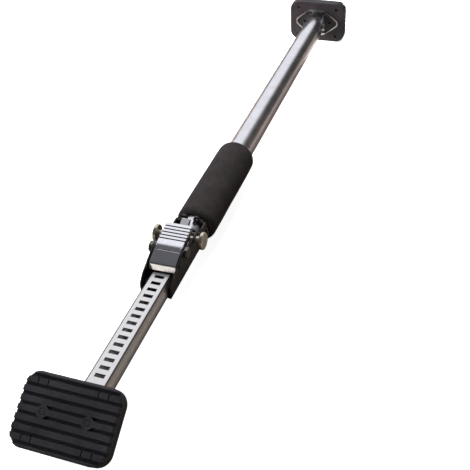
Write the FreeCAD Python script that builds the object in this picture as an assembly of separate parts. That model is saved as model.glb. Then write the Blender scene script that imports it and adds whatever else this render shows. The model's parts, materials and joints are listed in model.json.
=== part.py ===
import FreeCAD, Part
import math
import os

# Ratcheting telescopic load bar: a round outer tube with a foam grip and a ratchet housing, a slotted
# inner bar that slides in it, and a swivelling rubber foot at each end.
#
# Millimetres. The bar lies along X with the slotted flat up (+Z). The model is laid out with X = 0 at
# the near foot's pin and Z = 0 on the bar's axis. Just before export everything moves so that the
# origin is at the bottom centre of the whole assembly.

V = FreeCAD.Vector

# ---- driving dimensions -------------------------------------------------------------------------
TUBE_R = 19.0              # outer tube, 38 mm outside
TUBE_WALL = 1.7
TUBE_START = 303.0         # mouth of the tube, inside the ratchet housing
FAR_PIN_X = 977.0
GRIP_R = 28.0
GRIP_START = 328.0
GRIP_LENGTH = 175.0
GRIP_EDGE = 6.0

BAR_R = 16.0               # inner bar, 32 mm outside, with a flat pressed along its top
BAR_WALL = 1.6
BAR_FLAT_Z = 11.0
BAR_LENGTH = 812.0
NEAR_PIN_Z = -4.0
SLOT_FIRST = 50.0
SLOT_PITCH = 11.5
SLOT_COUNT = 57
SLOT_LENGTH = 12.0         # across the bar
SLOT_WIDTH = 5.0           # along the bar
SLIDE_FIT = 0.08           # radial, on the nylon parts that carry the inner bar
GUIDE_LENGTH = 26.0
GUIDE_LIP = 3.0
GUIDE_VENT_R = 10.0
BUSHING_LENGTH = 20.0
BUSHING_TOP = 4.0

FLAT_HALF = 12.0           # both bar ends are pressed flat on their sides to fit between the ears
FLAT_BACK = 9.5            # the side flats run this far behind the pin
END_R = 17.3               # the ends are rounded about the pin so that the foot can swing
END_REACH = 40.0           # cutting tools at a bar's end run this far past the pin
CUT_MARGIN = 5.0           # and this far past the bar's sides

PIN_R = 4.0
PIN_FIT = 0.05             # radial, where a part turns on a pin
PRESS_FIT = 0.01           # radial, where a pin is held fast
RIVET_PIN_R = 2.5          # cover pin and holding pawl pin
SMALL_PIN_R = 2.0          # drive pawl pin
HEX_FLATS = 13.0
HEX_CHAMFER = 0.6
BOLT_HEAD_T = 4.5
NUT_T = 5.0
BOLT_PAST_NUT = 1.5

PAD_W = 108.0
PAD_H = 77.0
PAD_T = 18.0
PAD_CORNER = 16.0
PAD_BACK_LAYER = 8.0
PAD_CHAMFER = 2.0
PAD_BACK = 20.5            # from the pin to the back face of the pad
GROOVE_PITCH = 9.5
GROOVE_WIDTH = 3.8
GROOVE_DEPTH = 4.2
GROOVE_PAIRS = 4
NOTCH_YS = (28.0, 39.0)
NOTCH_WIDTH = 1.1
NOTCH_DEPTH = 2.4
BOSS_Y = 25.0
BOSS_HALF_W = 9.5
BOSS_HALF_H = 8.5
RING_R = 3.6
RING_DEPTH = 0.6
PARTING_HALF = 0.6         # half the width of the groove between the pad's two layers
PARTING_DEPTH = 0.8
PAD_BACK_EDGE = 1.5
CORE_HOLE_R = 2.5
CORE_HOLE_DEPTH = 4.0
HOLE_Y = 37.5
HOLE_Z = 27.0

PLATE_W = 97.0             # between the plate's unrounded side points, 85 mm once rounded
PLATE_H = 51.0
PLATE_FLAT = 27.0          # length of the plate's short top and bottom edges
PLATE_CORNER = 6.0
PLATE_POINT_R = 9.6
PLATE_T = 2.5
EAR_T = 2.5
EAR_GAP = 25.0
EAR_TIP_R = 8.0
EAR_SPREAD = math.radians(18.0)
RELIEF_R = 3.0
RIVET_R = 3.0
RIVET_Z = 13.5
RIVET_DEPTH = 6.0
RIM = 3.6
NEAR_TILT = 58.0           # the near foot is stored swung up by this much

HOUSING_START = 197.0
HOUSING_END = 319.0
HOUSING_T = 1.8
LEVER_HALF = 17.4
LEVER_T = 1.8
LEVER_FRONT = 240.9
LEVER_REAR = 283.0
LEVER_PIVOT = (247.0, 25.0)
LEVER_RISE = math.radians(11.0)
LEVER_BEND_X = 247.5       # ahead of this the lever and the cover slope down to the nose
LEVER_BEND_Z = 31.7
LEVER_BEND_R = 25.0
NOSE_AT = (222.6, 22.2)
LUG_R = 6.2                # round lugs of the lever's flanges at its two pins
DRIVE_LUG_R = 4.6
WASHER_R = 7.5
WASHER_OUTER_GAP = 0.03    # from a washer to the housing wall
WASHER_INNER_GAP = 0.1     # and to the lever
DRIVE_PIVOT = (242.5, 16.5)
HOLD_PIVOT = (291.0, 18.0)
HOLD_LIFT = 13.5           # the holding pawl is stored lifted out of the slots by this angle
SHAFT_AT = (279.5, 16.9)   # release shaft with the pawl down
SHAFT_R = 3.0
COLLAR_R = 23.0            # collar round the tube at the housing's rear
COLLAR_T = 3.0
TIP_R = 4.5                # the collar's two upper tips, each with a hole
TIP_Y = 8.5
TIP_Z = 20.9
TIP_HOLE_R = 1.7
COIL_START = 8.4           # torsion spring beside the holding pawl's boss, across the bar
COIL_END = 18.6
COIL_R = 3.5
COIL_TURNS = 6
WIRE_R = 0.7
SHAFT_HALF = 31.0
KNOB_R = 11.5
KNOB_NECK_R = 5.0
KNOB_START = 22.4          # neck, disc and outer face of the left knob, across the bar
KNOB_DISC = 28.6
KNOB_END = 34.0
COVER_PIN_AT = (228.5, 18.5)
THUMB_GROOVES = 5
THUMB_FIRST = 257.0
THUMB_PITCH = 5.0
THUMB_WIDTH = 1.5
THUMB_DEPTH = 1.0
LEVER_SWEEP = 7.4          # nothing of the lever ahead of its pivot reaches further than this
COVER_GAP = 0.5
THROUGH = 40.0             # half length of tools that cut right across the bar


# ---- helpers ------------------------------------------------------------------------------------
def corner_wire(corners):
    """Closed wire in the XY plane through (x, y, radius) corners, with an arc at each radius."""
    count = len(corners)
    runs = []
    for i in range(count):
        before = V(corners[i - 1][0], corners[i - 1][1], 0)
        here = V(corners[i][0], corners[i][1], 0)
        after = V(corners[(i + 1) % count][0], corners[(i + 1) % count][1], 0)
        radius = corners[i][2]
        if radius == 0:
            runs.append((here, None, here))
            continue
        back = (before - here).normalize()
        ahead = (after - here).normalize()
        half = back.getAngle(ahead) / 2
        reach = radius / math.tan(half)
        middle = (back + ahead).normalize()
        centre = here + middle * (radius / math.sin(half))
        runs.append((here + back * reach, centre - middle * radius, here + ahead * reach))
    edges = []
    for i in range(count):
        start, through, end = runs[i]
        if through is not None:
            edges.append(Part.Arc(start, through, end).toShape())
        next_start = runs[(i + 1) % count][0]
        if end.distanceToPoint(next_start) > 1e-6:
            edges.append(Part.LineSegment(end, next_start).toShape())
    return Part.Wire(edges)


def side_plate(corners, y_low, y_high):
    """Solid with an (x, z, radius) outline, between two Y planes."""
    face = Part.Face(corner_wire(corners))
    solid = face.extrude(V(0, 0, y_high - y_low))
    solid.rotate(V(0, 0, 0), V(1, 0, 0), 90)
    solid.translate(V(0, y_high, 0))
    return solid


def cross_plate(corners, x_low, x_high):
    """Solid with a (y, z, radius) outline, between two X planes."""
    face = Part.Face(corner_wire(corners))
    solid = face.extrude(V(0, 0, x_high - x_low))
    solid.Placement = FreeCAD.Placement(V(x_low, 0, 0), FreeCAD.Rotation(V(1, 1, 1), 120))
    return solid


def rectangle(width, height, radius):
    """Corners of a rounded rectangle centred on the origin."""
    return [
        (-width / 2, -height / 2, radius),
        (width / 2, -height / 2, radius),
        (width / 2, height / 2, radius),
        (-width / 2, height / 2, radius),
    ]


def box(x, y, z):
    """Box from three (low, high) pairs."""
    return Part.makeBox(x[1] - x[0], y[1] - y[0], z[1] - z[0], V(x[0], y[0], z[0]))


def rod_x(radius, low, high, z=0.0):
    return Part.makeCylinder(radius, high - low, V(low, 0, z), V(1, 0, 0))


def rod_y(radius, low, high, at):
    return Part.makeCylinder(radius, high - low, V(at[0], low, at[1]), V(0, 1, 0))


def tube_y(outer, inner, low, high, at):
    return rod_y(outer, low, high, at).cut(rod_y(inner, low, high, at))


def hexagon_y(across_flats, low, high, at):
    """Hexagonal prism along Y, its corners cut back by a turned chamfer."""
    corner = across_flats / math.sqrt(3)
    points = []
    for i in range(6):
        turn = math.radians(60 * i)
        points.append((at[0] + corner * math.cos(turn), at[1] + corner * math.sin(turn), 0))
    prism = side_plate(points, low, high)
    turned = rod_y(corner, low, high, at)
    turned = turned.makeChamfer(HEX_CHAMFER, turned.Edges)
    return prism.common(turned)


def clean(shape):
    """One merged solid from a chain of booleans."""
    return shape.removeSplitter()


def mirrored(solid):
    """The solid and its mirror image across the bar's middle plane."""
    return solid, solid.mirror(V(0, 0, 0), V(0, 1, 0))


# ---- tubes --------------------------------------------------------------------------------------
def past_flats(radius, half, pin, outward):
    """Two boxes at a bar's end that hold everything further out sideways than half."""
    far = pin[0] + outward * END_REACH
    back = pin[0] - outward * FLAT_BACK
    span = (min(far, back), max(far, back))
    clear = radius + CUT_MARGIN
    return [box(span, band, (-clear, clear)) for band in ((half, clear), (-clear, -half))]


def pressed_tube(outer, inner, radius, wall, pin, outward):
    """A tube whose end at pin has two pressed side flats, a rounded tip and a cross hole.

    outer and inner are the solids whose difference is the tube. outward is +1 when the end points
    along +X and -1 when it points along -X.
    """
    for trim in past_flats(radius, FLAT_HALF, pin, outward):
        outer = outer.cut(trim)
    for trim in past_flats(radius, FLAT_HALF - wall, pin, outward):
        inner = inner.cut(trim)
    body = outer.cut(inner)
    clear = radius + CUT_MARGIN
    far = pin[0] + outward * END_REACH
    tip_zone = box((min(pin[0], far), max(pin[0], far)), (-clear, clear), (-clear, clear))
    tip_round = rod_y(END_R, -clear, clear, pin)
    body = body.cut(tip_zone.cut(tip_round))
    body = body.cut(rod_y(PIN_R + PRESS_FIT, -radius, radius, pin))
    return clean(body)


def outer_tube():
    pin = (FAR_PIN_X, 0.0)
    outer = rod_x(TUBE_R, TUBE_START, FAR_PIN_X + END_R + 1)
    inner = rod_x(TUBE_R - TUBE_WALL, TUBE_START - 1, FAR_PIN_X + END_R + 2)
    return pressed_tube(outer, inner, TUBE_R, TUBE_WALL, pin, 1)


def d_section(radius, flat_z, low, high):
    """Round bar with a flat along its top."""
    bar = rod_x(radius, low, high)
    return bar.cut(box((low - 1, high + 1), (-radius - 1, radius + 1), (flat_z, radius + 1)))


def inner_bar():
    pin = (0.0, NEAR_PIN_Z)
    outer = d_section(BAR_R, BAR_FLAT_Z, -END_R - 1, BAR_LENGTH)
    inner = d_section(BAR_R - BAR_WALL, BAR_FLAT_Z - BAR_WALL, -END_R - 2, BAR_LENGTH + 1)
    bar = pressed_tube(outer, inner, BAR_R, BAR_WALL, pin, -1)
    slots = []
    for i in range(SLOT_COUNT):
        x = SLOT_FIRST + i * SLOT_PITCH
        slot = box(
            (x - SLOT_WIDTH / 2, x + SLOT_WIDTH / 2),
            (-SLOT_LENGTH / 2, SLOT_LENGTH / 2),
            (BAR_FLAT_Z - BAR_WALL - 1, BAR_FLAT_Z + 1),
        )
        slots.append(slot)
    return bar.cut(Part.makeCompound(slots))


def rear_guide():
    """Nylon sleeve on the inner bar's hidden end, a running fit in the outer tube."""
    low = BAR_LENGTH - GUIDE_LENGTH
    high = BAR_LENGTH + GUIDE_LIP
    sleeve = rod_x(TUBE_R - TUBE_WALL - SLIDE_FIT, low, high)
    sleeve = sleeve.cut(d_section(BAR_R, BAR_FLAT_Z, low - 1, BAR_LENGTH))
    vent = rod_x(GUIDE_VENT_R, BAR_LENGTH - 1, high + 1)
    return clean(sleeve.cut(vent))


def foam_grip():
    outer = rod_x(GRIP_R, GRIP_START, GRIP_START + GRIP_LENGTH)
    outer = outer.makeFillet(GRIP_EDGE, outer.Edges)
    return outer.cut(rod_x(TUBE_R, GRIP_START - 1, GRIP_START + GRIP_LENGTH + 1))


# ---- ratchet housing ----------------------------------------------------------------------------
def housing_outline():
    """Side view of the housing: rounded nose, ramp up to the lever, waist, and low rear walls."""
    return [
        (216, -40, 0),
        (216, -22, 4),
        (HOUSING_START, -11, 14),
        (HOUSING_START, 7, 9),
        (207, 16, 12),
        (243, 31.0, 4),
        (256, 24.5, 6),
        (283, 26, 6),
        (295, 25, 5),
        (304, 18.5, 6),
        (HOUSING_END, 18.5, 2),
        (HOUSING_END, -40, 0),
    ]


def release_slot():
    """Arc slot in the side plates that lets the release shaft lift with the pawl."""
    cutters = [rod_y(SHAFT_R + 0.6, -THROUGH, THROUGH, SHAFT_AT)]
    steps = 6
    for i in range(1, steps + 1):
        lifted = rod_y(SHAFT_R + 0.6, -THROUGH, THROUGH, SHAFT_AT)
        lifted.rotate(V(HOLD_PIVOT[0], 0, HOLD_PIVOT[1]), V(0, 1, 0), (HOLD_LIFT + 0.5) * i / steps)
        cutters.append(lifted)
    slot = cutters[0]
    for cutter in cutters[1:]:
        slot = slot.fuse(cutter)
    return slot


def end_collar():
    """Flange round the tube, open at the top between two rounded tips with a small hole in each."""
    low = HOUSING_END - COLLAR_T
    high = HOUSING_END
    collar = rod_x(COLLAR_R, low, high)
    collar = collar.cut(box((low - 1, high + 1), (-TIP_Y, TIP_Y), (0, COLLAR_R + 1)))
    for y in (-TIP_Y, TIP_Y):
        tip = rod_x(TIP_R, low, high, TIP_Z)
        tip.translate(V(0, y, 0))
        hole = rod_x(TIP_HOLE_R, low - 1, high + 1, TIP_Z)
        hole.translate(V(0, y, 0))
        collar = collar.fuse(tip).cut(hole)
    return collar.cut(rod_x(TUBE_R, low - 1, high + 1))


def housing():
    """U-shaped pressing: half round under the tube, flat walls above it, and a collar at the rear."""
    outer_half = TUBE_R + HOUSING_T
    low = HOUSING_START - 5
    high = HOUSING_END + 5
    shell = rod_x(outer_half, low, high)
    shell = shell.fuse(box((low, high), (-outer_half, outer_half), (0, 60)))
    hollow = rod_x(TUBE_R, low - 1, high + 1)
    hollow = hollow.fuse(box((low - 1, high + 1), (-TUBE_R, TUBE_R), (0, 61)))
    channel = shell.cut(hollow)
    body = channel.common(side_plate(housing_outline(), -THROUGH, THROUGH)).fuse(end_collar())
    for radius, at in ((PIN_R, LEVER_PIVOT), (RIVET_PIN_R, HOLD_PIVOT), (RIVET_PIN_R, COVER_PIN_AT)):
        body = body.cut(rod_y(radius + PRESS_FIT, -THROUGH, THROUGH, at))
    return clean(body.cut(release_slot()))


def nose_bushing():
    """Plastic half liner that carries the inner bar at the housing's mouth."""
    low = HOUSING_START + 7
    high = low + BUSHING_LENGTH
    ring = rod_x(TUBE_R, low, high)
    ring = ring.cut(rod_x(BAR_R + SLIDE_FIT, low - 1, high + 1))
    return clean(ring.cut(box((low - 1, high + 1), (-TUBE_R - 1, TUBE_R + 1), (BUSHING_TOP, TUBE_R + 1))))


def lever_top(x):
    """Height of the lever's upper face, a plane that rises towards the rear."""
    return LEVER_BEND_Z + (x - LEVER_BEND_X) * math.tan(LEVER_RISE)


def nose_top(x):
    """Height of the sloping face between the lever's bend and the nose."""
    slope = (LEVER_BEND_Z - NOSE_AT[1]) / (LEVER_BEND_X - NOSE_AT[0])
    return LEVER_BEND_Z + (x - LEVER_BEND_X) * slope


def nose_cover():
    """Plated cover over the mouth: a bent sheet with side flanges, riveted between the walls."""
    rear = LEVER_FRONT + 0.2
    outline = [
        (rear, nose_top(rear), 0),
        (*NOSE_AT, 5),
        (219.2, 13.2, 0),
        (221.0, 12.8, 0),
        (224.0, 20.8, 4),
        (rear, nose_top(rear) - LEVER_T, 0),
    ]
    skin = side_plate(outline, -LEVER_HALF, LEVER_HALF)
    flange_outline = [
        (240.0, nose_top(240.0) - 1.0, 0),
        (223.2, 21.4, 4),
        (220.4, 13.2, 0),
        (233.5, 13.2, 3),
        (236.0, 21.0, 6),
    ]
    cover = skin
    for y in (-LEVER_HALF, LEVER_HALF - LEVER_T):
        cover = cover.fuse(side_plate(flange_outline, y, y + LEVER_T))
    cover = cover.cut(rod_y(LEVER_SWEEP + COVER_GAP, -THROUGH, THROUGH, LEVER_PIVOT))
    return clean(cover.cut(rod_y(RIVET_PIN_R + PRESS_FIT, -THROUGH, THROUGH, COVER_PIN_AT)))


def headed_pin(radius, at, half_span, head_r, head_t):
    """Cross pin along Y with a domed rivet head on each end."""
    pin = rod_y(radius, -half_span, half_span, at)
    for side in (1, -1):
        low = half_span if side > 0 else -half_span - head_t
        head = rod_y(head_r, low, low + head_t, at)
        rim = [e for e in head.Edges if abs(e.CenterOfMass.y - side * (half_span + head_t)) < 1e-6]
        head = head.makeFillet(head_t * 0.7, rim)
        pin = pin.fuse(head)
    return clean(pin)


# ---- lever and drive pawl -----------------------------------------------------------------------
def thumb_groove(x):
    """Cutter for a V groove across the lever's top plate, open at both sides."""
    half = THUMB_WIDTH / 2
    slope = math.tan(LEVER_RISE)
    profile = [
        (x - 2 * half, lever_top(x) + THUMB_DEPTH - 2 * half * slope, 0),
        (x, lever_top(x) - THUMB_DEPTH, 0.3),
        (x + 2 * half, lever_top(x) + THUMB_DEPTH + 2 * half * slope, 0),
    ]
    return side_plate(profile, -LEVER_HALF - 1, LEVER_HALF + 1)


def lever():
    """Pressed channel: top plate with thumb grooves, side flanges and lugs round the pivot."""
    front = LEVER_FRONT
    rear = LEVER_REAR
    flange_drop = 9.0
    top = [
        (front, nose_top(front), 0),
        (LEVER_BEND_X, LEVER_BEND_Z, LEVER_BEND_R),
        (rear, lever_top(rear), 1.5),
        (rear + 0.35, lever_top(rear) - LEVER_T, 0),
        (LEVER_BEND_X, LEVER_BEND_Z - LEVER_T, LEVER_BEND_R - LEVER_T),
        (front, nose_top(front) - LEVER_T, 0),
    ]
    body = side_plate(top, -LEVER_HALF, LEVER_HALF)
    flange = [
        (front + 1, nose_top(front + 1) - 0.6, 0),
        (rear, lever_top(rear) - 0.6, 1),
        (rear - 1.5, lever_top(rear) - flange_drop, 3),
        (front + 12, lever_top(front + 12) - flange_drop - 0.5, 3),
        (front + 8, 17.5, 3),
        (front + 2.5, 17.9, 1),
    ]
    for y in (-LEVER_HALF, LEVER_HALF - LEVER_T):
        wall = side_plate(flange, y, y + LEVER_T)
        wall = wall.fuse(rod_y(LUG_R, y, y + LEVER_T, LEVER_PIVOT))
        wall = wall.fuse(rod_y(DRIVE_LUG_R, y, y + LEVER_T, DRIVE_PIVOT))
        body = body.fuse(wall)
    for i in range(THUMB_GROOVES):
        body = body.cut(thumb_groove(THUMB_FIRST + i * THUMB_PITCH))
    body = body.cut(rod_y(PIN_R + PIN_FIT, -THROUGH, THROUGH, LEVER_PIVOT))
    return clean(body.cut(rod_y(SMALL_PIN_R + PRESS_FIT, -THROUGH, THROUGH, DRIVE_PIVOT)))


def pivot_washers():
    """One washer on each side, between the lever and the housing wall."""
    inner = LEVER_HALF + WASHER_INNER_GAP
    outer = TUBE_R - WASHER_OUTER_GAP
    return Part.makeCompound(mirrored(tube_y(WASHER_R, PIN_R + PIN_FIT, inner, outer, LEVER_PIVOT)))


def hex_bolt(at, face):
    """Bolt along Y: its head bears on -face and its end stands a little past the nut on +face."""
    end = face + NUT_T + BOLT_PAST_NUT
    shank = rod_y(PIN_R, -face - 0.01, end, at)
    tip = [e for e in shank.Edges if abs(e.CenterOfMass.y - end) < 1e-6]
    shank = shank.makeChamfer(0.7, tip)
    return clean(shank.fuse(hexagon_y(HEX_FLATS, -face - BOLT_HEAD_T, -face, at)))


def hex_nut(at, face):
    bore = rod_y(PIN_R + PRESS_FIT, face - 1, face + NUT_T + 1, at)
    return hexagon_y(HEX_FLATS, face, face + NUT_T, at).cut(bore)


def drive_pawl():
    """Pawl that hangs from the lever: an eye across the lever and a tooth that points down."""
    x, z = DRIVE_PIVOT
    eye = rod_y(3.6, -LEVER_HALF + LEVER_T + 0.3, LEVER_HALF - LEVER_T - 0.3, DRIVE_PIVOT)
    arm = side_plate(
        [
            (x, z + 2.6, 0),
            (x - 8.5, z + 1.6, 3),
            (x - 12.0, z - 1.5, 1),
            (x - 11.4, 12.8, 0.6),
            (x - 8.4, 12.8, 0.6),
            (x - 6.8, z - 2.4, 1),
            (x, z - 2.8, 0),
        ],
        -SLOT_LENGTH / 2 + 0.5,
        SLOT_LENGTH / 2 - 0.5,
    )
    return clean(eye.fuse(arm).cut(rod_y(SMALL_PIN_R + PIN_FIT, -THROUGH, THROUGH, DRIVE_PIVOT)))


def drive_pawl_pin():
    half = LEVER_HALF + 0.6
    return rod_y(SMALL_PIN_R, -half, half, DRIVE_PIVOT)


def coil_spring(at, low, high):
    """Closed round-wire coil along Y."""
    pitch = (high - low - 2 * WIRE_R) / COIL_TURNS
    helix = Part.makeHelix(pitch, pitch * COIL_TURNS, COIL_R)
    circle = Part.makeCircle(WIRE_R, V(COIL_R, 0, 0), V(0, 1, 0))
    coil = Part.Wire(helix).makePipeShell([Part.Wire(circle)], True, True)
    coil.rotate(V(0, 0, 0), V(1, 0, 0), -90)
    coil.translate(V(at[0], low + WIRE_R, at[1]))
    return coil


# ---- holding pawl and release -------------------------------------------------------------------
def lifted(shape):
    """Swing a part of the holding pawl from its seat in a slot up to its stored place."""
    raised = shape.copy()
    raised.rotate(V(HOLD_PIVOT[0], 0, HOLD_PIVOT[1]), V(0, 1, 0), HOLD_LIFT)
    return raised


def holding_pawl():
    """Strut pawl with a square tooth, a boss for the release shaft and a tail for its spring."""
    half = SLOT_LENGTH / 2 - 0.5
    x, z = HOLD_PIVOT
    arm = side_plate(
        [
            (x, z + 5, 0),
            (SHAFT_AT[0] - 2, SHAFT_AT[1] + 5.5, 4),
            (266.6, 17.0, 2),
            (266.6, 12.0, 0),
            (268.3, 6.7, 0.5),
            (270.2, 6.7, 0.5),
            (270.3, 11.8, 0.5),
            (x, z - 4.9, 0),
        ],
        -half,
        half,
    )
    tail = side_plate(
        [
            (x - 4.5, z, 0),
            (x + 4.5, z, 0),
            (x + 6.5, z + 6.5, 5),
            (x + 12.5, z + 13.0, 1),
            (x + 10.0, z + 15.5, 1),
            (x - 1.5, z + 8.5, 6),
        ],
        -half,
        half,
    )
    pawl = arm.fuse(tail).fuse(rod_y(5, -half - 1.5, half + 1.5, HOLD_PIVOT))
    pawl = pawl.fuse(rod_y(5.2, -half - 1.5, half + 1.5, SHAFT_AT))
    pawl = pawl.cut(rod_y(RIVET_PIN_R + PIN_FIT, -THROUGH, THROUGH, HOLD_PIVOT))
    pawl = pawl.cut(rod_y(SHAFT_R + PRESS_FIT, -THROUGH, THROUGH, SHAFT_AT))
    return lifted(clean(pawl))


def release_shaft():
    return lifted(rod_y(SHAFT_R, -SHAFT_HALF, SHAFT_HALF, SHAFT_AT))


def release_knob():
    """Turned mushroom knob: neck against the shaft's shoulder and a broad rounded disc."""
    neck = rod_y(KNOB_NECK_R, KNOB_START, KNOB_DISC + 1, SHAFT_AT)
    disc = rod_y(KNOB_R, KNOB_DISC, KNOB_END, SHAFT_AT)
    disc = disc.makeFillet(1.6, disc.Edges)
    knob = clean(neck.fuse(disc))
    return lifted(knob.cut(rod_y(SHAFT_R + PRESS_FIT, KNOB_START - 1, SHAFT_HALF, SHAFT_AT)))


# ---- feet ---------------------------------------------------------------------------------------
def edges_at(solid, x):
    """Edges of the face that closes a solid at this x."""
    return [edge for edge in solid.Edges if abs(edge.CenterOfMass.x - x) < 1e-6]


def pad_block():
    """Base layer, ribbed layer with a chamfered front rim, and the parting groove between them."""
    split = PAD_BACK + PAD_BACK_LAYER
    front = PAD_BACK + PAD_T
    base = cross_plate(rectangle(PAD_W, PAD_H, PAD_CORNER), PAD_BACK, split - PARTING_HALF)
    base = base.makeFillet(PAD_BACK_EDGE, edges_at(base, PAD_BACK))
    inset = 2 * PARTING_DEPTH
    waist_outline = rectangle(PAD_W - inset, PAD_H - inset, PAD_CORNER - PARTING_DEPTH)
    waist = cross_plate(waist_outline, split - 1, split + 1)
    block = cross_plate(rectangle(PAD_W, PAD_H, PAD_CORNER), split + PARTING_HALF, front)
    block = block.makeChamfer(PAD_CHAMFER, edges_at(block, front))
    return base.fuse(waist).fuse(block)


def pad_grooves(floor, front):
    """Straight grooves across the whole width, mirrored above and below the middle rib."""
    grooves = []
    half = GROOVE_WIDTH / 2
    for i in range(GROOVE_PAIRS):
        for side in (1, -1):
            z = side * GROOVE_PITCH * (i + 0.5)
            grooves.append(box((floor, front + 1), (-PAD_W, PAD_W), (z - half, z + half)))
    return Part.makeCompound(grooves)


def pad_boss(y, floor, front):
    """Raised diamond in the grooves with a shallow ring cut in it."""
    diamond = [
        (y - BOSS_HALF_W, 0, 1),
        (y, -BOSS_HALF_H, 1),
        (y + BOSS_HALF_W, 0, 1),
        (y, BOSS_HALF_H, 1),
    ]
    boss = cross_plate(diamond, floor - 1, front)
    ring = rod_x(RING_R, front - RING_DEPTH, front + 1).cut(rod_x(RING_R - 0.8, front - 1, front + 1))
    ring.translate(V(0, y, 0))
    return boss, ring


def rib_notches(front):
    """Narrow cross cuts that mark off a short block in the outermost ribs near each corner."""
    half_w = NOTCH_WIDTH / 2
    half_rib = (GROOVE_PITCH - GROOVE_WIDTH) / 2 + 0.1
    depth = (front - NOTCH_DEPTH, front + 1)
    cuts = []
    for y in NOTCH_YS:
        for z in (-3 * GROOVE_PITCH, 3 * GROOVE_PITCH):
            across = (z - half_rib, z + half_rib)
            cuts.append(box(depth, (y - half_w, y + half_w), across))
            cuts.append(box(depth, (-y - half_w, -y + half_w), across))
    return Part.makeCompound(cuts)


def back_hole(radius, depth, y, z):
    return Part.makeCylinder(radius, depth + 1, V(PAD_BACK - 1, y, z), V(1, 0, 0))


def foot_pad():
    """Ribbed rubber pad. Local frame: pin at the origin, +X out through the ribbed face."""
    front = PAD_BACK + PAD_T
    floor = front - GROOVE_DEPTH
    pad = pad_block().cut(pad_grooves(floor, front))
    for y in (-BOSS_Y, BOSS_Y):
        boss, ring = pad_boss(y, floor, front)
        pad = pad.fuse(boss).cut(ring)
        pad = pad.cut(back_hole(CORE_HOLE_R, CORE_HOLE_DEPTH, y, 0))
    pad = pad.cut(rib_notches(front))
    for y in (-HOLE_Y, HOLE_Y):
        for z in (-HOLE_Z, HOLE_Z):
            pad = pad.cut(back_hole(CORE_HOLE_R, CORE_HOLE_DEPTH, y, z))
    for z in (-RIVET_Z, RIVET_Z):
        pad = pad.cut(back_hole(RIVET_R, RIVET_DEPTH, 0, z))
    return clean(pad)


def rhombus(width, height, flat):
    """Truncated rhombus: pointed left and right, flat at top and bottom."""
    return [
        (-width / 2, 0, PLATE_POINT_R),
        (-flat / 2, -height / 2, PLATE_CORNER),
        (flat / 2, -height / 2, PLATE_CORNER),
        (width / 2, 0, PLATE_POINT_R),
        (flat / 2, height / 2, PLATE_CORNER),
        (-flat / 2, height / 2, PLATE_CORNER),
    ]


def window_corners(inner_y):
    """One window, from the ear's outer face to a rim of even width along the sloping edges."""
    rise = PLATE_H / 2
    run = (PLATE_W - PLATE_FLAT) / 2
    tip = PLATE_W / 2 - RIM * math.hypot(rise, run) / rise
    root = rise - RIM
    shoulder = tip - root * run / rise
    return [
        (inner_y, -root, 1.8),
        (max(shoulder, inner_y + 3), -root, 1.8),
        (tip, 0, PLATE_POINT_R - RIM),
        (max(shoulder, inner_y + 3), root, 1.8),
        (inner_y, root, 1.8),
    ]


def ear_corners():
    """Rounded triangle whose tip is an arc about the pin."""
    apex = EAR_TIP_R / math.sin(EAR_SPREAD)
    half_base = (PAD_BACK + apex) * math.tan(EAR_SPREAD)
    return [(-apex, 0, EAR_TIP_R), (PAD_BACK, -half_base, 0), (PAD_BACK, half_base, 0)]


def foot_bracket():
    """Zinc-plated pressing: rim and centre strip flat on the pad, two ears bent up from the windows."""
    low = PAD_BACK - PLATE_T
    ear_outer = EAR_GAP / 2 + EAR_T
    bracket = cross_plate(rhombus(PLATE_W, PLATE_H, PLATE_FLAT), low, PAD_BACK)
    opening = cross_plate(window_corners(ear_outer), low - 1, PAD_BACK + 1)
    corners = ear_corners()
    for cutter in mirrored(opening):
        bracket = bracket.cut(cutter)
    for wing in mirrored(side_plate(corners, EAR_GAP / 2, ear_outer)):
        bracket = bracket.fuse(wing)
    root = PLATE_H / 2 - RIM - RELIEF_R
    for y in (-EAR_GAP / 2, EAR_GAP / 2):
        for z in (-root, root):
            bracket = bracket.cut(Part.makeCylinder(RELIEF_R, 10, V(low - 1, y, z), V(1, 0, 0)))
    bracket = bracket.cut(rod_y(PIN_R + PIN_FIT, -THROUGH, THROUGH, (0, 0)))
    for z in (-RIVET_Z, RIVET_Z):
        bracket = bracket.cut(Part.makeCylinder(RIVET_R, 10, V(low - 1, 0, z), V(1, 0, 0)))
    return clean(bracket)


def foot_rivets():
    """Two flush rivets that hold the bracket's centre strip to the pad."""
    rivets = []
    for z in (-RIVET_Z, RIVET_Z):
        foot = V(PAD_BACK - PLATE_T, 0, z)
        rivets.append(Part.makeCylinder(RIVET_R, PLATE_T + RIVET_DEPTH, foot, V(1, 0, 0)))
    return Part.makeCompound(rivets)


def place_near(shape):
    """Turn a foot part to face -X, swing it up to its stored angle and put it on the near pin."""
    placed = shape.copy()
    placed.rotate(V(0, 0, 0), V(0, 0, 1), 180)
    placed.rotate(V(0, 0, 0), V(0, 1, 0), NEAR_TILT)
    placed.translate(V(0, 0, NEAR_PIN_Z))
    return placed


def place_far(shape):
    placed = shape.copy()
    placed.translate(V(FAR_PIN_X, 0, 0))
    return placed


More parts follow.
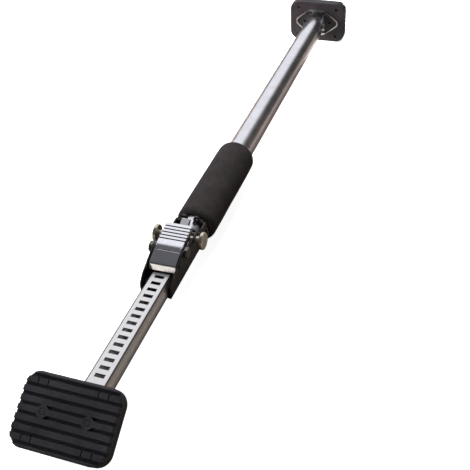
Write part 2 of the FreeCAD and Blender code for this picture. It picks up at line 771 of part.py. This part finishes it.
# ---- assembly -----------------------------------------------------------------------------------
def build():
    """Every node by name, in the layout frame."""
    wall_face = TUBE_R + HOUSING_T
    ear_face = EAR_GAP / 2 + EAR_T + 0.2
    near_pin = (0.0, NEAR_PIN_Z)
    far_pin = (FAR_PIN_X, 0.0)
    knob_left, knob_right = mirrored(release_knob())
    nodes = {
        "outer_tube": outer_tube(),
        "foam_grip": foam_grip(),
        "ratchet_housing": housing(),
        "nose_bushing": nose_bushing(),
        "nose_cover": nose_cover(),
        "nose_cover_pin": headed_pin(RIVET_PIN_R, COVER_PIN_AT, wall_face, 4.2, 1.2),
        "ratchet_lever": lever(),
        "lever_pivot_bolt": hex_bolt(LEVER_PIVOT, wall_face),
        "lever_pivot_nut": hex_nut(LEVER_PIVOT, wall_face),
        "lever_pivot_washers": pivot_washers(),
        "drive_pawl": drive_pawl(),
        "drive_pawl_pin": drive_pawl_pin(),
        "holding_pawl": holding_pawl(),
        "holding_pawl_pin": headed_pin(RIVET_PIN_R, HOLD_PIVOT, wall_face, 4.2, 1.2),
        "release_shaft": release_shaft(),
        "release_knob_left": knob_left,
        "release_knob_right": knob_right,
        "pawl_spring": coil_spring(HOLD_PIVOT, COIL_START, COIL_END),
        "inner_bar": inner_bar(),
        "rear_guide": rear_guide(),
    }
    ends = {"near": (near_pin, place_near), "far": (far_pin, place_far)}
    for name, (pin, place) in ends.items():
        nodes[name + "_foot_bolt"] = hex_bolt(pin, ear_face)
        nodes[name + "_foot_nut"] = hex_nut(pin, ear_face)
        nodes[name + "_foot_bracket"] = place(foot_bracket())
        nodes[name + "_foot_rivets"] = place(foot_rivets())
        nodes[name + "_foot_pad"] = place(foot_pad())
    return nodes


def bottom_centre(nodes):
    """Middle of the assembly's box in X and Y, and its lowest point in Z."""
    whole = FreeCAD.BoundBox()
    for shape in nodes.values():
        whole.add(shape.optimalBoundingBox(False))
    return V(whole.Center.x, whole.Center.y, whole.ZMin)


def main():
    os.makedirs("parts", exist_ok=True)
    nodes = build()
    origin = bottom_centre(nodes)
    for name, shape in nodes.items():
        shape.translate(-origin)
        if not shape.isValid():
            print("not valid:", name)
        shape.exportStep("parts/" + name + ".step")
    print("layout origin in the part's frame:", -origin)


main()
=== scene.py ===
import json
import math

import bpy
import numpy as np
from mathutils import Matrix, Vector


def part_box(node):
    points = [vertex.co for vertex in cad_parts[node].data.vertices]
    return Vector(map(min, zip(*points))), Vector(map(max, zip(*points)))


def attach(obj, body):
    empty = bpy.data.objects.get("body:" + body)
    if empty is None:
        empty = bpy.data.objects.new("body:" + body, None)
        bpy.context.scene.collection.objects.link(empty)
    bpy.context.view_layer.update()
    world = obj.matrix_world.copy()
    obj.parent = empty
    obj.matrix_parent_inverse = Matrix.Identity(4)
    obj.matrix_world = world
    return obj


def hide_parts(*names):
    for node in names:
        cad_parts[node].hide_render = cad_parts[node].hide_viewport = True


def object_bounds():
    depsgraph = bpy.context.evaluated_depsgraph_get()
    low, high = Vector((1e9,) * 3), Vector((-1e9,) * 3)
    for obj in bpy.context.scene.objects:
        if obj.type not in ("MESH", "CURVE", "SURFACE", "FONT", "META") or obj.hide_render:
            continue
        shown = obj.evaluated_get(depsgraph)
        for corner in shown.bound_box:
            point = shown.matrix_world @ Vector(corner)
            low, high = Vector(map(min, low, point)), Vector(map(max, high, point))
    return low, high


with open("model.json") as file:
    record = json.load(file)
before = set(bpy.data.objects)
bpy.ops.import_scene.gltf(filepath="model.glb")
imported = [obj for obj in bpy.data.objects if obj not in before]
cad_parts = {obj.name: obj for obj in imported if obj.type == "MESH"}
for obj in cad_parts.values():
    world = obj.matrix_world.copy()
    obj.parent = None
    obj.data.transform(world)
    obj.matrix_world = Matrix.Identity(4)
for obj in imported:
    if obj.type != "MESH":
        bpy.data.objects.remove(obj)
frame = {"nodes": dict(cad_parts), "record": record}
CAD_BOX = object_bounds()
NODES = frame["nodes"]
MM = 0.001


def span(node, axis):
    """Lowest and highest place of a CAD node along one axis, 0 for X, 1 for Y and 2 for Z."""
    low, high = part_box(node)
    return low[axis], high[axis]


def middle(node):
    """Centre of a CAD node's box."""
    low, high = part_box(node)
    return (low + high) / 2


BAR_AXIS_Z = middle("foam_grip").z


# ---- how a finish is put together ---------------------------------------------------------------
# Cosine between the true and the softened normal where edge wear and the painted edge highlight
# start, and where they are full.
WEAR_AND_HIGHLIGHT_STARTS = 0.98
WEAR_AND_HIGHLIGHT_FULL = 0.8


def mix_colours(tree, factor, below, above):
    """Colour between two colours in a node tree, each a tuple or a socket."""
    node = tree.nodes.new("ShaderNodeMix")
    node.data_type = "RGBA"
    tree.links.new(factor, node.inputs["Factor"])
    for socket, colour in ((node.inputs[6], below), (node.inputs[7], above)):
        if isinstance(colour, tuple):
            socket.default_value = (*colour, 1.0)
        else:
            tree.links.new(colour, socket)
    return node.outputs[2]


class Finish:
    """A material under construction: its node tree, its shader and short ways to add nodes."""

    def __init__(self, name, soft_edge=0.0005, **sockets):
        self.material = bpy.data.materials.new(name)
        self.material.use_nodes = True
        self.tree = self.material.node_tree
        self.shader = self.tree.nodes["Principled BSDF"]
        self.place = self.add("ShaderNodeTexCoord").outputs["Object"]
        self.rounded = self.add("ShaderNodeBevel", samples=4)
        self.rounded.inputs["Radius"].default_value = soft_edge
        for label, value in sockets.items():
            self.shader.inputs[label.replace("_", " ")].default_value = value

    def add(self, kind, **settings):
        node = self.tree.nodes.new(kind)
        for label, value in settings.items():
            setattr(node, label, value)
        return node

    def link(self, source, target):
        self.tree.links.new(source, target)

    def mapped(self, scale):
        """Object coordinates, scaled so that a pattern can be long in one direction."""
        node = self.add("ShaderNodeMapping")
        node.inputs["Scale"].default_value = scale
        self.link(self.place, node.inputs["Vector"])
        return node.outputs["Vector"]

    def axis(self, name):
        """One coordinate of the object, in metres."""
        node = self.add("ShaderNodeSeparateXYZ")
        self.link(self.place, node.inputs[0])
        return node.outputs[name]

    def noise(self, scale, detail=3.0, rough=0.5, where=None):
        node = self.add("ShaderNodeTexNoise")
        node.inputs["Scale"].default_value = scale
        node.inputs["Detail"].default_value = detail
        node.inputs["Roughness"].default_value = rough
        self.link(where or self.place, node.inputs["Vector"])
        return node.outputs["Fac"]

    def cells(self, scale, feature="F1"):
        node = self.add("ShaderNodeTexVoronoi", feature=feature)
        node.inputs["Scale"].default_value = scale
        self.link(self.place, node.inputs["Vector"])
        return node.outputs["Distance"]

    def ranged(self, value, low, high, to_low=0.0, to_high=1.0, smooth=False):
        curve = "SMOOTHSTEP" if smooth else "LINEAR"
        node = self.add("ShaderNodeMapRange", interpolation_type=curve)
        for label, number in (
            ("From Min", low), ("From Max", high), ("To Min", to_low), ("To Max", to_high)
        ):
            node.inputs[label].default_value = number
        self.link(value, node.inputs["Value"])
        return node.outputs["Result"]

    def mix(self, factor, dark, light):
        return mix_colours(self.tree, factor, dark, light)

    def maths(self, kind, first, second):
        node = self.add("ShaderNodeMath", operation=kind)
        for socket, value in ((node.inputs[0], first), (node.inputs[1], second)):
            if isinstance(value, (int, float)):
                socket.default_value = value
            else:
                self.link(value, socket)
        return node.outputs[0]

    def magnitude(self, value):
        """A value without its sign."""
        node = self.add("ShaderNodeMath", operation="ABSOLUTE")
        self.link(value, node.inputs[0])
        return node.outputs[0]

    def edges(self):
        """0 on faces, 1 where the softened edge turns away from the true surface."""
        flat = self.add("ShaderNodeNewGeometry").outputs["True Normal"]
        agree = self.add("ShaderNodeVectorMath", operation="DOT_PRODUCT")
        self.link(self.rounded.outputs["Normal"], agree.inputs[0])
        self.link(flat, agree.inputs[1])
        return self.ranged(agree.outputs["Value"], WEAR_AND_HIGHLIGHT_STARTS, WEAR_AND_HIGHLIGHT_FULL)

    def colour(self, value):
        self.link(value, self.shader.inputs["Base Color"])

    def roughness(self, value):
        self.link(value, self.shader.inputs["Roughness"])

    def bump(self, *layers):
        """Bumps from (height, distance in metres, strength) layers, over softened edges."""
        below = self.rounded.outputs["Normal"]
        for height, distance, strength in layers:
            node = self.add("ShaderNodeBump")
            node.inputs["Distance"].default_value = distance
            node.inputs["Strength"].default_value = strength
            self.link(height, node.inputs["Height"])
            self.link(below, node.inputs["Normal"])
            below = node.outputs["Normal"]
        self.link(below, self.shader.inputs["Normal"])


# ---- finishes -----------------------------------------------------------------------------------
def satin_tube_finish():
    """Satin chrome tube: bright, with fine polish lines along it and faint handling marks."""
    f = Finish("satin_tube", Metallic=1.0)
    lines = f.noise(1.0, 4.0, 0.6, f.mapped((9.0, 2600.0, 2600.0)))
    marks = f.noise(38.0, 4.0, 0.65)
    f.colour(f.mix(f.ranged(marks, 0.35, 0.7), (0.74, 0.74, 0.77), (0.84, 0.84, 0.87)))
    grain = f.ranged(lines, 0.3, 0.7, 0.17, 0.22)
    f.roughness(f.maths("ADD", grain, f.ranged(marks, 0.4, 0.7, 0.0, 0.05)))
    f.bump((lines, 0.00002, 0.12))
    return f.material


# The crease along both edges of the bar's flat, with painted shade in it: place in Y, half width,
# and heights over the axis.
FLAT_EDGE = 11.5 * MM
CREASE_CORE = 0.4 * MM
CREASE_FADE = 1.0 * MM
FLAT_TOP_FROM = 8.5 * MM
FLAT_TOP_FULL = 9.5 * MM


def zinc_bar_finish():
    """Bright zinc on the slotted bar: drawn lines, slight mottle, a crease by the flat painted dark
    as shade.
    """
    f = Finish("zinc_bar", Metallic=1.0)
    lines = f.noise(1.0, 3.0, 0.6, f.mapped((14.0, 1800.0, 1800.0)))
    mottle = f.noise(120.0, 5.0, 0.7)
    body = f.mix(f.ranged(mottle, 0.3, 0.7), (0.74, 0.73, 0.71), (0.86, 0.86, 0.85))
    off = f.magnitude(f.maths("SUBTRACT", f.magnitude(f.axis("Y")), FLAT_EDGE))
    near_edge = f.ranged(off, CREASE_CORE, CREASE_FADE, 1.0, 0.0, smooth=True)
    top = f.ranged(f.axis("Z"), BAR_AXIS_Z + FLAT_TOP_FROM, BAR_AXIS_Z + FLAT_TOP_FULL)
    crease_and_shade = f.maths("MULTIPLY", near_edge, top)
    # Painted shade: the crease is coloured near-black along both edges of the flat.
    f.colour(f.mix(crease_and_shade, body, (0.06, 0.06, 0.07)))
    grain = f.ranged(lines, 0.3, 0.7, 0.26, 0.33)
    f.roughness(f.maths("ADD", grain, f.ranged(mottle, 0.35, 0.7, 0.0, 0.08)))
    f.bump((crease_and_shade, 0.0002, -0.6), (lines, 0.00002, 0.25), (mottle, 0.00003, 0.2))
    return f.material


# The thumb grooves, counted from the lever's rear end. The painted shade in them is in shares of
# the pitch.
FIRST_GROOVE = 26.35 * MM
GROOVE_PITCH = 5.0 * MM
GROOVES = 5
GROOVE_SHADE_CORE = 0.12
GROOVE_SHADE_FADE = 0.24


def chrome_finish():
    """Bright plate on pressed steel, with fine scuffs in it and painted shade in the thumb grooves.
    """
    f = Finish("bright_plate", Metallic=1.0)
    scuffs = f.noise(1.0, 5.0, 0.7, f.mapped((160.0, 900.0, 160.0)))
    plate = f.mix(f.ranged(scuffs, 0.4, 0.7), (0.88, 0.89, 0.92), (0.78, 0.79, 0.82))
    first = span("ratchet_lever", 0)[1] - FIRST_GROOVE
    count = f.maths("DIVIDE", f.maths("SUBTRACT", f.axis("X"), first), GROOVE_PITCH)
    away = f.magnitude(f.maths("SUBTRACT", count, f.maths("ROUND", count, 0.0)))
    line = f.ranged(away, GROOVE_SHADE_CORE, GROOVE_SHADE_FADE, 1.0, 0.0, smooth=True)
    before_last = f.ranged(count, GROOVES - 0.6, GROOVES - 0.5, 1.0, 0.0)
    inside = f.maths("MULTIPLY", f.ranged(count, -0.5, -0.4), before_last)
    # Painted shade: a dark line is coloured along each thumb groove.
    f.colour(f.mix(f.maths("MULTIPLY", line, inside), plate, (0.1, 0.09, 0.085)))
    f.roughness(f.ranged(scuffs, 0.35, 0.75, 0.09, 0.18))
    f.bump((scuffs, 0.00003, 0.12))
    return f.material


def knob_finish():
    """Warm satin nickel with a fine turned grain."""
    f = Finish("nickel_knob", Metallic=1.0)
    grain = f.noise(420.0, 3.0, 0.6)
    cloud = f.noise(90.0, 4.0, 0.6)
    f.colour(f.mix(f.ranged(cloud, 0.35, 0.7), (0.7, 0.64, 0.51), (0.84, 0.79, 0.67)))
    f.roughness(f.ranged(grain, 0.3, 0.7, 0.24, 0.36))
    f.bump((grain, 0.00003, 0.25))
    return f.material


def foot_zinc_finish():
    """Bluish zinc on the foot brackets, with a soft spangle and a painted highlight along its
    edges.
    """
    f = Finish("foot_zinc", Metallic=1.0)
    spangle = f.cells(260.0)
    cloud = f.noise(60.0, 4.0, 0.6)
    body = f.mix(f.ranged(spangle, 0.0, 0.7), (0.74, 0.77, 0.78), (0.6, 0.64, 0.66))
    # Painted highlight: the edges are coloured bright cream, as rims that catch the light.
    f.colour(f.mix(f.edges(), body, (0.95, 0.93, 0.9)))
    f.roughness(f.ranged(cloud, 0.3, 0.7, 0.28, 0.42))
    f.bump((cloud, 0.00004, 0.2))
    return f.material


def dark_zinc_finish():
    """Dark plated bolts, nuts and rivets, brighter on their worn edges."""
    f = Finish("dark_zinc", Metallic=1.0, soft_edge=0.0003)
    grime = f.noise(300.0, 4.0, 0.65)
    body = f.mix(f.ranged(grime, 0.35, 0.7), (0.13, 0.12, 0.115), (0.3, 0.285, 0.27))
    f.colour(f.mix(f.edges(), body, (0.5, 0.48, 0.46)))
    f.roughness(f.ranged(grime, 0.3, 0.7, 0.25, 0.42))
    f.bump((grime, 0.00004, 0.3))
    return f.material


def pawl_finish():
    """Ground and plated pawls and spring wire."""
    f = Finish("pawl_steel", Metallic=1.0, soft_edge=0.0003)
    grind = f.noise(1.0, 3.0, 0.6, f.mapped((1500.0, 60.0, 1500.0)))
    f.colour(f.mix(f.ranged(grind, 0.3, 0.7), (0.7, 0.71, 0.72), (0.85, 0.86, 0.87)))
    f.roughness(f.ranged(grind, 0.3, 0.7, 0.16, 0.3))
    f.bump((grind, 0.00003, 0.3))
    return f.material


def black_paint_finish():
    """Semi-gloss black paint with orange peel and steel showing faintly at worn edges."""
    f = Finish("black_paint", Coat_Weight=0.25, Coat_Roughness=0.15, soft_edge=0.0006)
    peel = f.noise(700.0, 2.0, 0.5)
    patches = f.noise(90.0, 4.0, 0.6)
    body = f.mix(f.ranged(patches, 0.3, 0.7), (0.008, 0.0065, 0.0065), (0.017, 0.0135, 0.012))
    worn = f.maths("MULTIPLY", f.edges(), f.ranged(patches, 0.4, 0.6, 0.1, 0.8))
    f.colour(f.mix(worn, body, (0.11, 0.1, 0.09)))
    f.roughness(f.ranged(patches, 0.3, 0.7, 0.28, 0.42))
    f.bump((peel, 0.00005, 0.35))
    return f.material


def plastic_finish():
    """Moulded black nylon."""
    f = Finish("black_nylon")
    grain = f.noise(900.0, 2.0, 0.5)
    f.colour(f.mix(f.ranged(grain, 0.3, 0.7), (0.012, 0.012, 0.012), (0.02, 0.02, 0.02)))
    f.roughness(f.ranged(grain, 0.3, 0.7, 0.42, 0.58))
    f.bump((grain, 0.00004, 0.3))
    return f.material


def foam_finish():
    """Charcoal closed-cell foam: pores of two sizes, soft mottling and a dry sheen."""
    f = Finish("black_foam", Sheen_Weight=0.03, Sheen_Roughness=0.6, Specular_IOR_Level=0.08)
    pores = f.cells(750.0)
    beads = f.cells(260.0, feature="SMOOTH_F1")
    cloud = f.noise(55.0, 5.0, 0.65)
    pore_shade = f.ranged(pores, 0.1, 0.6, 0.0, 0.55)
    # Painted shade: the pores are coloured darker towards their centres.
    tone = f.maths("ADD", pore_shade, f.ranged(cloud, 0.35, 0.65, 0.0, 0.45))
    f.colour(f.mix(tone, (0.016, 0.0138, 0.0138), (0.054, 0.047, 0.047)))
    f.roughness(f.ranged(cloud, 0.3, 0.7, 0.78, 0.92))
    f.bump((beads, 0.0003, 0.3), (pores, 0.00022, 0.5))
    return f.material


def rubber_finish():
    """Moulded rubber: blue-black, with patchy bloom and rubbed edges."""
    f = Finish("black_rubber", Specular_IOR_Level=0.35, soft_edge=0.0007)
    grain = f.noise(1100.0, 3.0, 0.6)
    bloom = f.noise(34.0, 5.0, 0.65)
    body = f.mix(f.ranged(bloom, 0.35, 0.68), (0.019, 0.0185, 0.0225), (0.034, 0.0335, 0.0405))
    rubbed = f.maths("MULTIPLY", f.edges(), f.ranged(bloom, 0.4, 0.6, 0.15, 0.6))
    f.colour(f.mix(rubbed, body, (0.055, 0.055, 0.062)))
    f.roughness(f.ranged(bloom, 0.3, 0.7, 0.45, 0.62))
    f.bump((grain, 0.00008, 0.35), (bloom, 0.0002, 0.12))
    return f.material


FINISHES = {
    "satin_steel": satin_tube_finish(),
    "zinc_bar": zinc_bar_finish(),
    "bright_plate": chrome_finish(),
    "nickel_knob": knob_finish(),
    "foot_zinc": foot_zinc_finish(),
    "dark_zinc": dark_zinc_finish(),
    "pawl_steel": pawl_finish(),
    "black_paint": black_paint_finish(),
    "black_plastic": plastic_finish(),
    "black_foam": foam_finish(),
    "black_rubber": rubber_finish(),
}
FINISHES["spring_steel"] = FINISHES["pawl_steel"]


def dress_cad_nodes():
    """Give every CAD node the finish of its material slot."""
    slots = {s["node"]: s["material_slot"] for s in frame["record"]["subparts"]}
    for name, node in NODES.items():
        finish = FINISHES[slots[name]]
        if not node.material_slots:
            node.data.materials.append(finish)
        for place in node.material_slots:
            place.material = finish


dress_cad_nodes()


# ---- surfaces worked out on a grid --------------------------------------------------------------
def grid_mesh(name, points, wrap_u, wrap_v):
    """Mesh from a (rows, columns, 3) array of points, closed round in either direction if asked."""
    rows, columns = points.shape[:2]
    u = np.arange(rows if wrap_u else rows - 1)
    v = np.arange(columns if wrap_v else columns - 1)
    u, v = np.meshgrid(u, v, indexing="ij")
    next_u = (u + 1) % rows
    next_v = (v + 1) % columns
    here, ahead = u * columns, next_u * columns
    corners = (here + v, ahead + v, ahead + next_v, here + next_v)
    faces = np.stack(corners, axis=-1).reshape(-1, 4)
    mesh = bpy.data.meshes.new(name)
    mesh.from_pydata(points.reshape(-1, 3).tolist(), [], faces.tolist())
    mesh.shade_smooth()
    return mesh


def add_piece(name, mesh, body, slot, replaces=()):
    """Put a finished mesh in the scene, with the body it rides on and the finish it has."""
    piece = bpy.data.objects.new(name, mesh)
    bpy.context.scene.collection.objects.link(piece)
    mesh.materials.append(FINISHES[slot])
    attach(piece, body)
    for node in replaces:
        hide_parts(node)
    return piece


# ---- the foam grip ------------------------------------------------------------------------------
FOAM_EDGE = 7.5 * MM
FOAM_GAP = 0.02 * MM
FOAM_SWELL = 0.22 * MM
FOAM_NECK = 0.5 * MM
FOAM_NECK_RUN = 14 * MM
FOAM_BEND_STEPS = 13
FOAM_STEPS = 170
FOAM_FACE_STEPS = 8
FOAM_TURN_STEPS = 160


def swell(x, turn):
    """Slow hand-made unevenness of the foam, a sum of three low waves, between about -1 and 1."""
    along = np.sin(31.0 * x + 2.0 * turn + 0.4)
    across = np.sin(67.0 * x - 3.0 * turn + 1.9)
    round_it = np.sin(4.0 * turn + 120.0 * x)
    return (along + across * 0.6 + round_it * 0.4) / 2.0


def foam_sleeve():
    """Foam tube round the bar.

    A closed profile is turned about the bar's axis. The profile runs out along the near end face,
    over a quarter round of FOAM_EDGE, along the outside, over the far quarter round, in along the
    far face and back through the bore. The radius of the outside swells by FOAM_SWELL times three
    low waves, and sinks by FOAM_NECK towards each end over FOAM_NECK_RUN.
    """
    start, end = span("foam_grip", 0)
    low_y, high_y = span("foam_grip", 1)
    outside = (high_y - low_y) / 2
    tube_low, tube_high = span("outer_tube", 1)
    bore = (tube_high - tube_low) / 2 + FOAM_GAP
    bend = np.linspace(0, math.pi / 2, FOAM_BEND_STEPS)
    body_x = np.linspace(start + FOAM_EDGE, end - FOAM_EDGE, FOAM_STEPS)
    face_r = np.linspace(bore, outside - FOAM_EDGE, FOAM_FACE_STEPS)[:-1]
    near_x = start + FOAM_EDGE * (1 - np.sin(bend))
    near_r = outside - FOAM_EDGE * (1 - np.cos(bend))
    near = np.stack([near_x[::-1], near_r[::-1]], axis=1)
    far = np.stack([end - FOAM_EDGE * (1 - np.sin(bend)), near_r], axis=1)
    profile = np.concatenate([
        np.stack([np.full_like(face_r, start), face_r], axis=1),
        near,
        np.stack([body_x[1:-1], np.full(FOAM_STEPS - 2, outside)], axis=1),
        far,
        np.stack([np.full_like(face_r, end), face_r[::-1]], axis=1),
    ])
    turn = np.linspace(0, 2 * math.pi, FOAM_TURN_STEPS, endpoint=False)
    x = np.repeat(profile[:, :1], FOAM_TURN_STEPS, axis=1)
    radius = np.repeat(profile[:, 1:], FOAM_TURN_STEPS, axis=1)
    share = np.clip((radius - bore) / (outside - bore), 0, 1)
    from_end = np.minimum(x - start, end - x)
    neck = FOAM_NECK * np.exp(-from_end / FOAM_NECK_RUN)
    radius = radius + share * (FOAM_SWELL * swell(x, turn[None, :]) - FOAM_SWELL - neck)
    y = radius * np.cos(turn)[None, :]
    z = radius * np.sin(turn)[None, :] + BAR_AXIS_Z
    points = np.stack([x, y, z], axis=-1)
    mesh = grid_mesh("foam_sleeve", points, wrap_u=True, wrap_v=True)
    sleeve = add_piece("foam_sleeve", mesh, "tube", "black_foam", ["foam_grip"])


foam_sleeve()


# ---- stage --------------------------------------------------------------------------------------
CAMERA_AT = (-0.8786, -0.3373, 0.6648)
CAMERA_AHEAD = (0.72450706, 0.28087485, -0.62944327)
CAMERA_UP = (0.60981463, 0.16444840, 0.77529533)
LENS = 58.26
SENSOR = 36.0

PALE = (0.95, 0.95, 0.95)
FLOOR_HALF = 9.0
FLOOR_GLOW = 0.9
FLOOR_GAP = 0.5 * MM
BOUNCE_GAP = 1.5 * MM
WALL_RADIUS = 8.5
WALL_STEPS = 64
WALL_HEIGHTS = (-0.1, 6.0)
WALL_GLOW = 0.95

# Name, place, aim, width and depth, watts, tint and spread in degrees of each softbox.
SOFTBOXES = (
    ("overhead", (0.2, 0.5, 1.8), (0.0, 0.0, 0.0), (2.4, 1.0), 32, (1.0, 1.0, 1.0), 180.0),
    ("front_fill", (-1.6, 0.9, 0.9), (0.3, 0.0, 0.0), (1.2, 1.0), 6, (1.0, 1.0, 1.0), 180.0),
    ("far_fill", (0.2, 0.75, 0.3), (0.5, 0.0, 0.04), (0.4, 0.4), 3.2, (1.0, 0.82, 0.78), 60.0),
)

# How the bounce floor lightens away from the object's line, and where it glows, in metres.
SHADE_Y = (0.02, 0.13)
LIT_BEHIND_X = (-0.75, -0.6)
LIT_AHEAD_X = (0.42, 0.455)
LIT_AHEAD_Y = (0.05, 0.09)
BOUNCE_GLOW = 0.8

# Steps of the light tent on the parts of a unit direction.
ZENITH_X = (0.15, 0.42)
OVERHEAD_Z = (0.35, 0.85)
LEFT_Y = (-0.3, 0.02)
BRIGHT_Z = (0.02, 0.14)
BRIGHT_X = (0.1, 0.42)
WARM_Z = (-0.3, 0.05)
WARM_Y = (-0.4, -0.9)


def add_object(name, data):
    thing = bpy.data.objects.new(name, data)
    bpy.context.scene.collection.objects.link(thing)
    return thing


def add_camera():
    """Camera from its place, the way it looks and the way that is up in its picture."""
    camera = add_object("camera", bpy.data.cameras.new("camera"))
    camera.data.lens = LENS
    camera.data.sensor_width = SENSOR
    camera.data.clip_start = 0.02
    ahead = Vector(CAMERA_AHEAD).normalized()
    right = ahead.cross(Vector(CAMERA_UP)).normalized()
    up = right.cross(ahead)
    turn = Matrix((right, up, -ahead)).transposed()
    camera.matrix_world = Matrix.Translation(CAMERA_AT) @ turn.to_4x4()
    bpy.context.scene.camera = camera


def add_softbox(name, at, aim, size, power, tint, spread):
    """Broad lamp that lights the object but isn't mirrored in it."""
    lamp = bpy.data.lights.new(name, "AREA")
    lamp.shape = "RECTANGLE"
    lamp.size, lamp.size_y = size
    lamp.energy = power
    lamp.spread = math.radians(spread)
    lamp.color = tint
    holder = add_object(name, lamp)
    holder.visible_glossy = False
    holder.location = at
    holder.rotation_euler = (Vector(aim) - Vector(at)).to_track_quat("-Z", "Y").to_euler()


def studio_paper(name, glow):
    """Matt paper with a faint speckle and a light of its own, as a finish and its speckle."""
    f = Finish(name, Specular_IOR_Level=0.0, Emission_Strength=glow)
    speck = f.noise(3.0, 3.0, 0.5)
    f.roughness(f.ranged(speck, 0.0, 1.0, 0.9, 1.0))
    return f, speck


def pale_paper(name, glow):
    """Pale paper that glows evenly."""
    f, speck = studio_paper(name, glow)
    f.colour(f.mix(speck, tuple(0.98 * c for c in PALE), PALE))
    f.shader.inputs["Emission Color"].default_value = (*PALE, 1.0)
    return f.material


def bounce_paper():
    """Warm paper, dim under the object, lit pale cream before the near foot and by the far one."""
    f, speck = studio_paper("warm_floor", BOUNCE_GLOW)
    aside = f.magnitude(f.axis("Y"))
    open_floor = f.mix(speck, (0.29, 0.25, 0.22), (0.3, 0.26, 0.23))
    f.colour(f.mix(f.ranged(aside, *SHADE_Y, smooth=True), (0.13, 0.11, 0.1), open_floor))
    behind = f.ranged(f.axis("X"), *LIT_BEHIND_X, 1.0, 0.0, smooth=True)
    ahead = f.ranged(f.axis("X"), *LIT_AHEAD_X, smooth=True)
    middle_strip = f.ranged(aside, *LIT_AHEAD_Y, 1.0, 0.0, smooth=True)
    lit = f.maths("ADD", behind, f.maths("MULTIPLY", ahead, middle_strip))
    glow = f.mix(lit, (0.0, 0.0, 0.0), (1.0, 0.95, 0.87))
    f.link(glow, f.shader.inputs["Emission Color"])
    return f.material


def show_lens_only(thing):
    """Keep a stage piece out of reflections, soft light and shadows: only the lens sees it."""
    thing.visible_glossy = False
    thing.visible_diffuse = False
    thing.visible_shadow = False


def add_sheet(name, z, material):
    mesh = bpy.data.meshes.new(name)
    signs = ((-1, -1), (1, -1), (1, 1), (-1, 1))
    corners = [(x * FLOOR_HALF, y * FLOOR_HALF, 0) for x, y in signs]
    mesh.from_pydata(corners, [], [(0, 1, 2, 3)])
    mesh.materials.append(material)
    sheet = add_object(name, mesh)
    sheet.location.z = z
    return sheet


def add_floor():
    """A pale floor that the lens sees, over a warmer one that only lights and reflects."""
    ground = CAD_BOX[0].z
    seen = add_sheet("floor", ground - FLOOR_GAP, pale_paper("pale_floor", FLOOR_GLOW))
    show_lens_only(seen)
    bounce = add_sheet("bounce_floor", ground - BOUNCE_GAP, bounce_paper())
    bounce.visible_camera = False


def add_backdrop():
    """A pale wall far behind in every direction, seen only by the lens."""
    turn = np.linspace(0, 2 * math.pi, WALL_STEPS, endpoint=False)
    x = np.repeat((WALL_RADIUS * np.cos(turn))[None, :], len(WALL_HEIGHTS), axis=0)
    y = np.repeat((WALL_RADIUS * np.sin(turn))[None, :], len(WALL_HEIGHTS), axis=0)
    z = np.repeat(np.array(WALL_HEIGHTS)[:, None], WALL_STEPS, axis=1)
    mesh = grid_mesh("backdrop", np.stack([x, y, z], axis=-1), wrap_u=False, wrap_v=True)
    mesh.materials.append(pale_paper("pale_wall", WALL_GLOW))
    wall = add_object("backdrop", mesh)
    show_lens_only(wall)


class Sky:
    """Light tent: brightness for each direction, built from smooth steps on its X, Y and Z."""

    def __init__(self):
        world = bpy.data.worlds.new("light_tent")
        bpy.context.scene.world = world
        world.use_nodes = True
        self.tree = world.node_tree
        place = self.tree.nodes.new("ShaderNodeTexCoord")
        split = self.tree.nodes.new("ShaderNodeSeparateXYZ")
        self.tree.links.new(place.outputs["Generated"], split.inputs[0])
        self.along = split.outputs

    def step(self, axis, low, high):
        node = self.tree.nodes.new("ShaderNodeMapRange")
        node.interpolation_type = "SMOOTHSTEP"
        node.inputs["From Min"].default_value = low
        node.inputs["From Max"].default_value = high
        self.tree.links.new(self.along[axis], node.inputs["Value"])
        return node.outputs["Result"]

    def both(self, first, second):
        node = self.tree.nodes.new("ShaderNodeMath")
        node.operation = "MULTIPLY"
        self.tree.links.new(first, node.inputs[0])
        self.tree.links.new(second, node.inputs[1])
        return node.outputs[0]

    def mix(self, factor, below, above):
        return mix_colours(self.tree, factor, below, above)

    def finish(self, colour, strength):
        background = self.tree.nodes["Background"]
        self.tree.links.new(colour, background.inputs["Color"])
        background.inputs["Strength"].default_value = strength


def add_light_tent():
    """Dark round the horizon, grey overhead, and one broad bright side ahead and to the left."""
    sky = Sky()
    zenith = sky.mix(sky.step("X", *ZENITH_X), (0.11, 0.11, 0.12), (0.5, 0.5, 0.52))
    overhead = sky.mix(sky.step("Z", *OVERHEAD_Z), (0.05, 0.047, 0.045), zenith)
    left = sky.step("Y", *LEFT_Y)
    bright = sky.both(left, sky.both(sky.step("Z", *BRIGHT_Z), sky.step("X", *BRIGHT_X)))
    warm_right = sky.both(sky.step("Z", *WARM_Z), sky.step("Y", *WARM_Y))
    base = sky.mix(warm_right, overhead, (0.2, 0.17, 0.15))
    sky.finish(sky.mix(bright, base, (0.98, 0.975, 1.03)), 1.0)


add_camera()
add_floor()
add_backdrop()
add_light_tent()
for softbox in SOFTBOXES:
    add_softbox(*softbox)
bpy.context.scene.view_settings.view_transform = "Standard"
